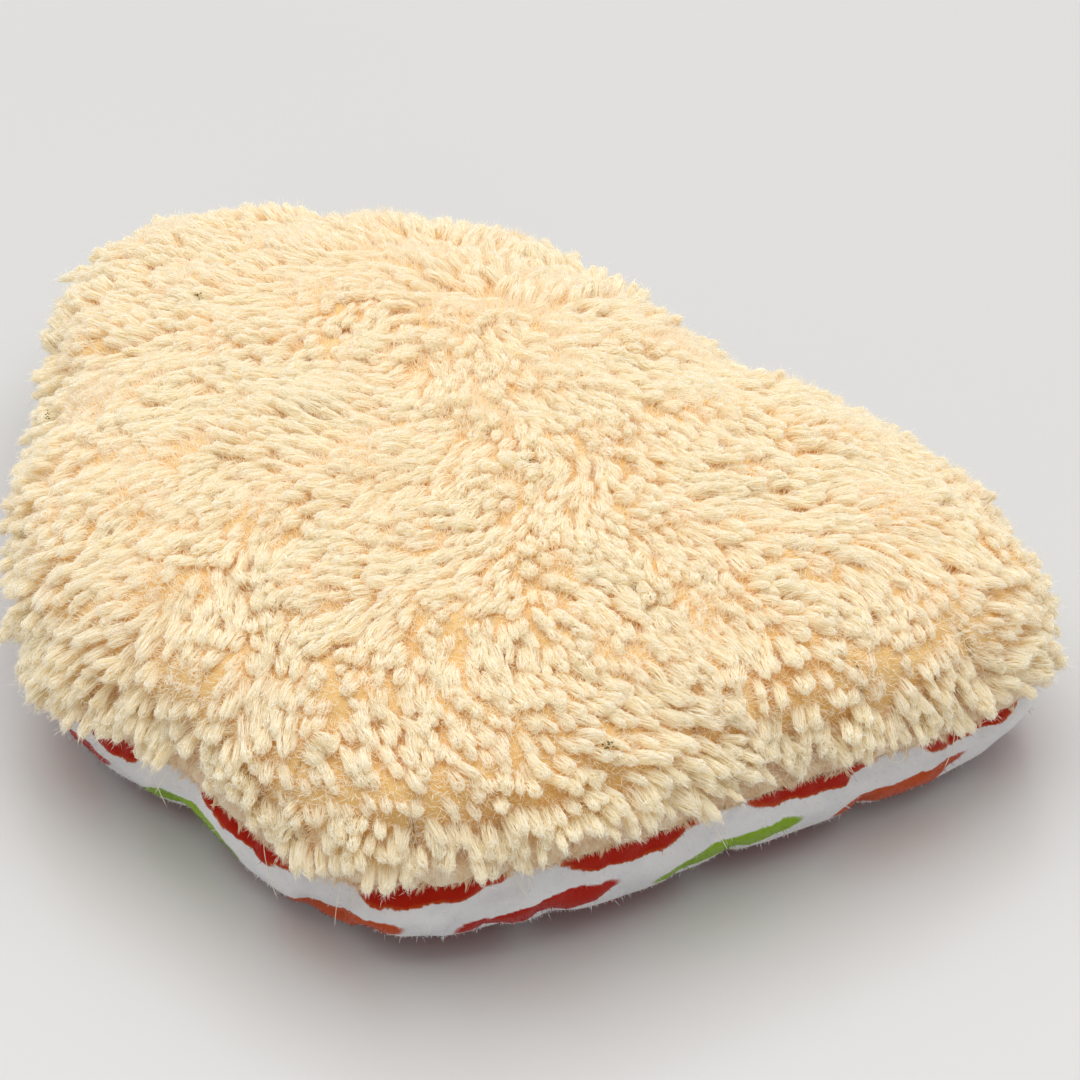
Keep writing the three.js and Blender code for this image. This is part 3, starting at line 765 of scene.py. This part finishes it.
class Tufts:
    """The pile's tufts: each bends from its root to its tip, with a girth along its length and an oval section."""

    def __init__(self, rng):
        x, y, column, from_seam = tuft_roots(rng)
        count = len(x)
        root, normal, outward = TOP.read(column, from_seam)
        lying = smooth(from_seam, *LYING)
        root = root + (LYING_LIFT * lying - 0.3)[:, None] * normal

        # The pile falls away from a whorl behind the crown, more so near the rim, in drifts that lean together.
        rim = np.exp(-from_seam / 8.0)
        from_whorl = root - np.array([*WHORL, 0])
        away = from_whorl + 25 * rim[:, None] * outward
        away -= (away * normal).sum(1, keepdims=True) * normal
        away = unit(away)
        around = np.cross(normal, away)
        turn = 1.0 * (1 - rim) * value_noise(x, y, 21.0, 27) + 0.8 * value_noise(x, y, 11.0, 21)
        turn += 0.3 * value_noise(x, y, 4.5, 22) + rng.normal(0, 0.2, count)
        turn += rng.normal(0, 0.35, count) * rim
        whorl = np.exp(-((from_whorl[:, :2] ** 2).sum(1)) / WHORL_SPREAD ** 2)
        turn += whorl * (1.6 * value_noise(x, y, 6.0, 28) + rng.normal(0, 0.7, count))
        fall = unit(away * np.cos(turn)[:, None] + around * np.sin(turn)[:, None])
        lean = 0.66 + 0.5 * lying + 0.15 * value_noise(x, y, 6.0, 23) + rng.normal(0, 0.1, count)
        lean = np.clip(lean, 0.05, 1.3)
        length = TUFT_LENGTH * (1 + 0.05 * value_noise(x, y, 6.0, 24) + rng.normal(0, 0.05, count))
        length *= 1 + rng.normal(0, 0.16, count) * rim - 0.28 * lying
        self.heading = np.arctan2(y, x)
        for heading, change in RIM_LENGTHS:
            apart = (np.degrees(self.heading) - heading + 180) % 360 - 180
            length *= 1 + change * np.exp(-0.5 * (apart / RIM_SPREAD) ** 2) * rim
        self.radius = TUFT_RADIUS * (1 + np.clip(rng.normal(0, 0.13, count), -0.3, 0.3))
        tip = root + (normal * np.cos(lean)[:, None] + fall * np.sin(lean)[:, None]) * length[:, None]

        # Neighbours gather into locks: each tip is drawn to the middle of its lock, and the rim's tips hang.
        seeds = rng.choice(count, count // 4, replace=False)
        lock = seeds[np.argmin((x[:, None] - x[seeds]) ** 2 + (y[:, None] - y[seeds]) ** 2, 1)]
        tip += 0.25 * ((tip[lock] - root[lock]) - (tip - root)) + 0.08 * (root[lock] - root)
        tip[:, 2] -= 0.9 * rim
        tip += (LOCK_RISE * lock_share(tip[:, 0], tip[:, 1]) * smooth(from_seam, 2.0, 6.0))[:, None] * normal
        bend = root + normal * (0.5 * length * (1 - 0.25 * lying))[:, None]
        self.count = count
        self.points = root[:, None], bend[:, None], tip[:, None]

        self.side = unit(np.cross(normal, tip - root) + 1e-6 * around)
        self.phase = rng.uniform(0, 2 * np.pi, count)
        self.curl = rng.uniform(0.05, 0.3, count)
        self.twist = rng.uniform(-1.6, 1.6, count)
        wisp = np.clip(0.4 + 0.6 * np.exp(-from_seam / 9.0) + 0.3 * value_noise(x, y, 8.0, 26), 0, 1)[:, None]
        self.profile = TUFT_BLUNT * (1 - wisp) + TUFT_WISPY * wisp
        self.oval = rng.uniform(0.7, 1.0, count)[:, None, None]
        self.tone = np.clip(0.6 + 0.22 * value_noise(x, y, 9.0, 25) + rng.normal(0, 0.12, count), 0.06, 0.92)

    def girth(self, t):
        """The tufts' radii at steps along them, as shares of each tuft's own radius."""
        return np.stack([np.interp(t[i], TUFT_STEPS, self.profile[i]) for i in range(self.count)])

    def path(self, t):
        """Points (tuft, step, xyz) along the tufts, and the directions there; t is (tuft, step)."""
        t = t[..., None]
        p0, p1, p2 = self.points
        at = (1 - t) ** 2 * p0 + 2 * t * (1 - t) * p1 + t ** 2 * p2
        way = 2 * (1 - t) * (p1 - p0) + 2 * t * (p2 - p1)
        sway = self.curl[:, None, None] * np.sin(5.0 * t + self.phase[:, None, None]) * t
        return at + sway * self.side[:, None], unit(way)

    def section(self, way):
        """The long and the short half of the tufts' oval sections, as shares of their radius."""
        across = np.broadcast_to(self.side[:, None], way.shape)
        deep = np.cross(way, across)
        tilt = self.phase[:, None, None]
        return np.cos(tilt) * across + np.sin(tilt) * deep, self.oval * (np.cos(tilt) * deep - np.sin(tilt) * across)

    def shell(self, t, spin, reach):
        """Points round the tufts' axes at a spin and a reach from the axis."""
        at, way = self.path(t)
        across, deep = self.section(way)
        spin = spin + self.twist[:, None] * t
        return at + reach[..., None] * (np.cos(spin)[..., None] * across + np.sin(spin)[..., None] * deep)

    def tones(self, rng, lighter, spread, shape):
        return np.clip(self.tone[:, None] + rng.normal(lighter, spread, shape), 0.03, 0.97)


# Fibres of the tufts: each function gives their roots, tips, tones and places along the tuft

def fibres_along(rng, tufts):
    """Fibres that lie along a tuft, those in its middle to its round end."""
    shape = (tufts.count, TUFT_FIBRES)
    radius = tufts.radius[:, None]
    spin = rng.uniform(0, 2 * np.pi, shape)
    share = np.sqrt(rng.uniform(0.04, 1.0, shape))
    ends = rng.uniform(0, 1, shape) < 0.5
    end = np.where(ends, 1.02 - 0.15 * share ** 2 + rng.normal(0, 0.025, shape), rng.uniform(0.5, 0.95, shape))
    begin = end - rng.uniform(0.34, 0.46, shape)
    near = radius * tufts.girth(begin) * 1.1 * np.sqrt(rng.uniform(0.12, 1.0, shape))
    far = radius * tufts.girth(end) * 1.12 * share
    root = tufts.shell(begin, spin, near)
    tip = tufts.shell(end, spin + rng.normal(0, 0.4, shape), far)
    return root, tip, tufts.tones(rng, 0.04, 0.14, shape), (begin, np.minimum(end, 1))


def fibres_over_end(rng, tufts):
    """Fibres that curl over a tuft's round end."""
    shape = (tufts.count, CAP_FIBRES)
    middle, way = tufts.path(np.full((tufts.count, 1), 0.86))
    spin = rng.uniform(0, 2 * np.pi, shape)[..., None]
    polar = np.arccos(rng.uniform(-0.1, 1.0, shape))[..., None]
    across, deep = tufts.section(way)
    radial = np.cos(spin) * across + np.sin(spin) * deep
    around = np.cross(way, radial)
    down = np.cos(polar) * radial - np.sin(polar) * way
    heading = rng.normal(0, 0.7, shape)[..., None]
    lie = down * np.cos(heading) + around * np.sin(heading)
    dome = (tufts.radius[:, None] * rng.uniform(0.55, 1.02, shape))[..., None]
    at = middle + dome * (np.sin(polar) * radial + np.cos(polar) * way)
    half = rng.uniform(0.25, 0.5, shape)[..., None]
    tones = tufts.tones(rng, 0.06, 0.14, shape)
    return at + half * lie, at - half * lie, tones, (np.full(shape, 0.75), np.full(shape, 1.0))


def fibres_off(rng, tufts):
    """Short fuzz that stands off a tuft."""
    shape = (tufts.count, SHORT_FIBRES)
    t = rng.uniform(0.45, 1.0, shape)
    spin = rng.uniform(0, 2 * np.pi, shape)
    reach = tufts.radius[:, None] * tufts.girth(t)
    root = tufts.shell(t, spin, reach * 0.9)
    off = unit(tufts.shell(t, spin, reach + 1.0) - root)
    ahead = tufts.path(np.clip(t + 0.05, 0, 1.2))[1]
    way = unit(0.7 * off + rng.uniform(0.2, 1.1, shape)[..., None] * ahead + rng.normal(0, 0.35, (*shape, 3)))
    tip = root + rng.uniform(0.4, 1.2, shape)[..., None] * way
    return root, tip, tufts.tones(rng, 0.1, 0.12, shape), (t, np.minimum(t + 0.15, 1))


def make_pile():
    """Every tuft's fibres, in pieces by sector of the toy."""
    rng = np.random.default_rng(5)
    tufts = Tufts(rng)
    kinds = (
        (*fibres_along(rng, tufts), TUFT_FIBRE_WIDTH, 0.6),
        (*fibres_over_end(rng, tufts), CAP_FIBRE_WIDTH, 0.5),
        (*fibres_off(rng, tufts), SHORT_FIBRE_WIDTH, 0.35),
    )
    for number, chosen in enumerate(np.array_split(np.argsort(tufts.heading), PILE_PIECES)):
        parts = []
        for root, tip, tone, along, width, widest in kinds:
            parts.append(blades(rng, root[chosen].reshape(-1, 3), tip[chosen].reshape(-1, 3), width,
                                tone[chosen].ravel(), [share[chosen].ravel() for share in along], widest))
        fibre_piece(f"fleece_pile_{number + 1:02d}", *joined(parts))


def make_underfur():
    """Loose fibre between the tufts, over the matted ground."""
    rng = np.random.default_rng(7)
    count = UNDERFUR // UNDERFUR_PIECES
    for number in range(UNDERFUR_PIECES):
        reach = np.sqrt(rng.uniform(0, 1, count))
        angle = rng.uniform(-np.pi, np.pi, count)
        column = TOP.column(angle)
        from_seam = (1 - reach) * (TOP.span_at(column) - FELT_WIDTH) + FELT_WIDTH
        root, normal, outward = TOP.read(column, from_seam)
        root = root + (FELT_DEPTH + underpile(from_seam, root[:, 0], root[:, 1]) - 0.2)[:, None] * normal
        way = unit(normal + rng.normal(0, 0.55, (count, 3)) + 0.3 * outward)
        size = rng.uniform(0.8, 2.0, count)[:, None]
        tone = np.clip(rng.normal(0.6, 0.16, count), 0.02, 0.98)
        along = np.full(count, 0.3), np.full(count, 0.85)
        fibres = blades(rng, root, root + size * way, UNDERFUR_WIDTH, tone, along)
        fibre_piece(f"fleece_underfur_{number + 1}", *fibres)


def make_felt_fuzz():
    """Short, matted fibre on the felted strip, some of it across the seam."""
    rng = np.random.default_rng(9)
    count = SEAM_FUZZ // SEAM_FUZZ_PIECES
    for number in range(SEAM_FUZZ_PIECES):
        column = rng.uniform(0, COLUMNS, count)
        from_seam = 7.0 * rng.uniform(0, 1, count) ** 1.25
        root, normal, outward = TOP.read(column, from_seam)
        around = np.cross(normal, outward)
        raise_by = FELT_DEPTH * smooth(from_seam, 0.0, FELT_EDGE) * 0.8
        root = root + raise_by[:, None] * normal
        swirl = rng.normal(0, 0.8, count)
        fall = outward * np.cos(swirl)[:, None] + around * np.sin(swirl)[:, None]
        way = unit(rng.uniform(0.2, 1.0, count)[:, None] * normal + fall)
        size = (rng.uniform(0.25, 0.9, count) + 1.3 * smooth(from_seam, 0.5, 4.0))[:, None]
        tip = root + size * unit(way + rng.normal(0, 0.25, (count, 3)) - [0, 0, 0.12])
        tone = np.clip(rng.normal(0.6, 0.2, count), 0.02, 0.98)
        along = np.full(count, 0.2), np.full(count, 1.0)
        fibres = blades(rng, root - 0.1 * normal, tip, SEAM_FUZZ_WIDTH, tone, along)
        fibre_piece(f"seam_fuzz_{number + 1}", *fibres, made=FUZZ)


def make_wisps():
    """Small wisps of fibre that hang over the seam from the felted strip."""
    rng = np.random.default_rng(10)
    column = rng.uniform(0, COLUMNS, SEAM_WISPS)
    from_seam = 0.2 + 4.2 * rng.uniform(0, 1, SEAM_WISPS) ** 1.3
    at, normal, outward = TOP.read(column, from_seam)
    at = at + (FELT_DEPTH * smooth(from_seam, 0.0, FELT_EDGE))[:, None] * normal
    around = np.cross(normal, outward)
    swirl = rng.normal(0, 0.6, SEAM_WISPS)
    fall = outward * np.cos(swirl)[:, None] + around * np.sin(swirl)[:, None]
    length = rng.uniform(0.8, 2.2, SEAM_WISPS) * (0.7 + 0.3 * smooth(from_seam, 0.5, 3.5))
    end = at + length[:, None] * unit(fall + rng.uniform(0.0, 0.6, SEAM_WISPS)[:, None] * normal - [0, 0, 0.25])
    shape = (SEAM_WISPS, WISP_FIBRES, 3)
    root = at[:, None] - 0.1 * normal[:, None] + rng.normal(0, 0.22, shape)
    tip = end[:, None] + rng.normal(0, 0.09, shape)
    tone = np.clip(rng.normal(0.75, 0.15, shape[:2]), 0.02, 0.98).ravel()
    along = np.full(len(tone), 0.5), np.full(len(tone), 1.0)
    fibres = blades(rng, root.reshape(-1, 3), tip.reshape(-1, 3), WISP_WIDTH, tone, along)
    fibre_piece("seam_wisps", *fibres, made=FUZZ)


def make_nap():
    """The velour's standing nap in the strip that shows under the rim."""
    rng = np.random.default_rng(13)
    count = NAP_FIBRES
    column = rng.uniform(0, COLUMNS, count)
    from_seam = rng.uniform(0.2, NAP_STRIP, count)
    root, normal, outward = BELLY.read(column, from_seam)
    around = np.cross(normal, outward)
    size = rng.uniform(0.2, 0.42, count)
    longer = rng.uniform(0, 1, count) < 0.06
    size[longer] += rng.uniform(0.3, 0.8, longer.sum())
    way = unit(normal + rng.normal(0, 0.4, count)[:, None] * around + rng.normal(0, 0.4, count)[:, None] * outward)
    tip = root + size[:, None] * way
    tip[:, 2] = np.maximum(tip[:, 2], 0.02)
    zero = np.zeros(count)
    verts, faces, _ = blades(rng, root - 0.05 * normal, tip, NAP_WIDTH, zero, (zero, zero))
    per = len(verts) // count
    flat = flat_map(column, BELLY.span_at(column) - from_seam, (0.29, 0.5))
    corners = np.array([(math.cos(a), math.sin(a)) for a in np.arange(per) * 2.1]) * np.linspace(0.3, 1, per)[:, None]
    uvs = flat[:, None] + 0.0006 * corners[None]
    border = np.repeat(np.stack([MOTIFS * column / COLUMNS, from_seam], -1), per, 0)
    fibre_piece("velour_nap", verts, faces, uvs.reshape(-1, 2), NAP, "printed_velour", border)


# Loose hairs that hang over the seam: where they start, by heading in degrees and distance from the seam, and how
# far they reach outward, along the seam and down
STRAY_HAIRS = (
    (-132, 3.0, 4.5, 2.5, 4.0), (-127, 2.0, 3.5, -3.0, 3.0), (-112, 4.0, 5.0, 1.5, 5.5), (-101, 3.0, 4.0, -1.5, 5.0),
    (-84, 4.5, 5.0, 2.0, 2.5), (-62, 3.0, 4.5, 3.0, 3.5), (-58, 2.5, 3.5, -2.5, 3.0), (-45, 4.0, 4.5, 2.0, 1.0),
    (-30, 3.0, 4.0, -2.0, 2.5), (-15, 3.5, 4.5, 2.0, 2.0), (40, 4.0, 4.5, 2.5, 2.0), (75, 3.5, 4.5, -2.0, 2.5),
    (120, 4.0, 4.0, 2.0, 2.0), (165, 3.5, 4.5, -2.5, 2.5), (-165, 3.0, 4.5, 2.0, 3.5),
)
HAIR_LOOPS = ((-38, 4.0, 4.6, 2.4), (-140, 4.5, 4.2, 2.0))
HAIR_RADIUS = 0.04
HAIR_STEPS = 16

# Crumbs of dried catnip caught in the pile, as places on the fleece and sizes
CRUMBS = ((-36.0, 27.0, 0.12), (1.0, -7.0, 0.14), (8.0, -46.0, 0.14), (-49.0, 11.0, 0.1), (-57.0, -12.0, 0.14))
CRUMB_BITS = 9


def capped_rings(end, sides):
    """Faces of a closed form that has a first point, rings of points, and a last point with the number end."""
    faces = []
    for k in range(sides):
        after = (k + 1) % sides
        faces += [(0, 1 + after, 1 + k), (end, end - sides + k, end - sides + after)]
        for a in range(1, end - sides, sides):
            faces += [(a + k, a + after, a + sides + after), (a + k, a + sides + after, a + sides + k)]
    return np.array(faces)


def hair(points):
    """A closed four-sided hair through points."""
    tangent = unit(np.gradient(points, axis=0))
    first = unit(np.cross(tangent, (0.3, 0.2, 0.9)))
    second = np.cross(tangent, first)
    arms = np.stack([first, second, -first, -second], 1)
    rings = points[1:-1, None] + HAIR_RADIUS * arms[1:-1]
    verts = np.concatenate([points[:1], rings.reshape(-1, 3), points[-1:]])
    u = np.concatenate([[0.7], np.tile([0.68, 0.7, 0.72, 0.74], len(points) - 2), [0.72]])
    v = np.concatenate([[0.7], np.repeat(np.linspace(0.72, 0.97, len(points) - 2), 4), [0.99]])
    return verts, capped_rings(len(verts) - 1, 4), np.stack([u, v], -1)


def by_seam(heading, from_seam):
    """Point, normal, outward direction and direction along the seam at one place of the fleece."""
    column = TOP.column(np.radians([heading]))
    at, normal, outward = (v[0] for v in TOP.read(column, np.array([from_seam])))
    return at, normal, outward, np.cross(normal, outward)


def make_stray_hairs():
    """A few long hairs and loops that the sewing pulled out of the pile."""
    t = np.linspace(0, 1, HAIR_STEPS)[:, None]
    parts = []
    for heading, from_seam, out, along, down in STRAY_HAIRS:
        at, normal, outward, around = by_seam(heading, from_seam)
        bend = at + 0.6 * out * outward + 2.0 * normal
        tip = at + out * outward + along * around - [0, 0, down]
        parts.append(hair((1 - t) ** 2 * at + 2 * t * (1 - t) * bend + t ** 2 * tip))
    for heading, from_seam, out, width in HAIR_LOOPS:
        at, normal, outward, around = by_seam(heading, from_seam)
        left = at + 1.4 * out * outward + 2 * width * around + normal
        right = at + 1.4 * out * outward - 2 * width * around + normal
        parts.append(hair((1 - t) ** 3 * at + 3 * t * (1 - t) ** 2 * left + 3 * t ** 2 * (1 - t) * right
                          + t ** 3 * (at + 0.4 * around)))
    fibre_piece("stray_hairs", *joined(parts))


def on_fleece(x, y):
    """The column and the distance from the seam of a place on the fleece."""
    column = TOP.column(np.array([math.atan2(y - CENTRE[1], x - CENTRE[0])]))
    near = int(column[0]) % COLUMNS
    reach = np.hypot(TOP.grid[:, near, 0] - CENTRE[0], TOP.grid[:, near, 1] - CENTRE[1])
    from_seam = np.interp(-math.hypot(x - CENTRE[0], y - CENTRE[1]), -reach, TOP.from_seam[:, near])
    return column, np.array([from_seam])


def make_crumbs():
    """Crumbs of dried leaf, each a small uneven lump."""
    rng = np.random.default_rng(17)
    rings, sides = 4, 7
    parts = []
    for x, y, size in CRUMBS * CRUMB_BITS:
        at, normal, _ = (v[0] for v in TOP.read(*on_fleece(x, y)))
        at = at + (4.4 + rng.uniform(-0.3, 0.3)) * normal + rng.normal(0, 2.4 * size, 3)
        verts = [(0, 0, -1)]
        for ring in range(1, rings):
            polar = np.pi * ring / rings
            verts += [(math.sin(polar) * math.cos(a), math.sin(polar) * math.sin(a), -math.cos(polar))
                      for a in 2 * np.pi * np.arange(sides) / sides]
        verts = np.array(verts + [(0, 0, 1)]) * rng.uniform(0.65, 1.2, (len(verts) + 1, 1)) * (1.3, 0.9, 0.6)
        parts.append((at + size * verts, capped_rings(len(verts) - 1, sides), verts[:, :2]))
    verts, faces, _ = joined(parts)
    crumbs = new_mesh("catnip_crumbs", verts, faces, CATNIP, shaded_smooth=False)
    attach(crumbs, "root")


make_pile()
make_underfur()
make_felt_fuzz()
make_wisps()
make_nap()
make_stray_hairs()
make_crumbs()

for node, made in (("needle_thread", THREAD), ("bobbin_thread", THREAD), ("closing_thread", THREAD),
                   ("upper_stuffing", FIBREFILL), ("lower_stuffing", FIBREFILL), ("catnip_filling", CATNIP)):
    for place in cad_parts[node].material_slots:
        place.material = made


# Camera, floor and light

def camera():
    data = bpy.data.cameras.new("camera")
    data.sensor_width = SENSOR
    data.lens = FOCAL_PIXELS / FRAME_PIXELS * SENSOR
    data.clip_start = 0.01
    data.clip_end = 20
    obj = bpy.data.objects.new("camera", data)
    bpy.context.scene.collection.objects.link(obj)
    elevation = math.radians(CAMERA_ELEVATION)
    target = Vector(CAMERA_TARGET) * MM
    obj.location = target + CAMERA_DISTANCE * MM * Vector((0, -math.cos(elevation), math.sin(elevation)))
    obj.rotation_euler = (math.pi / 2 - elevation, 0, 0)
    bpy.context.scene.camera = obj


def floor():
    n = Nodes("studio_floor")
    grain = n.noise(n.place(), 6.0, 2.0)
    made = n.finish(Base_Color=n.ramp(grain, [(0.3, (0.58, 0.575, 0.567)), (0.7, (0.60, 0.595, 0.587))]),
                    Roughness=0.3, Specular_IOR_Level=0.5)
    verts = FLOOR_REACH * np.array([(-1, -1, 0), (1, -1, 0), (1, 1, 0), (-1, 1, 0)])
    new_mesh("studio_floor", verts, np.array([(0, 1, 2, 3)]), made, shaded_smooth=False)


def light():
    data = bpy.data.lights.new("key", "AREA")
    data.size = KEY_SIZE
    data.energy = KEY_POWER
    obj = bpy.data.objects.new("key", data)
    obj.location = Vector(KEY_PLACE) * MM
    obj.rotation_euler = (Vector(KEY_AIM) * MM - obj.location).to_track_quat("-Z", "Y").to_euler()
    bpy.context.scene.collection.objects.link(obj)
    world = bpy.data.worlds.new("studio")
    world.use_nodes = True
    surround = world.node_tree.nodes["Background"].inputs
    surround["Color"].default_value = (1.0, 1.0, 1.0, 1.0)
    surround["Strength"].default_value = SURROUND
    bpy.context.scene.world = world


camera()
floor()
light()
bpy.context.scene.view_settings.view_transform = "Standard"
bpy.context.scene.cycles.max_bounces = MAX_BOUNCES
bpy.context.scene.cycles.diffuse_bounces = DIFFUSE_BOUNCES
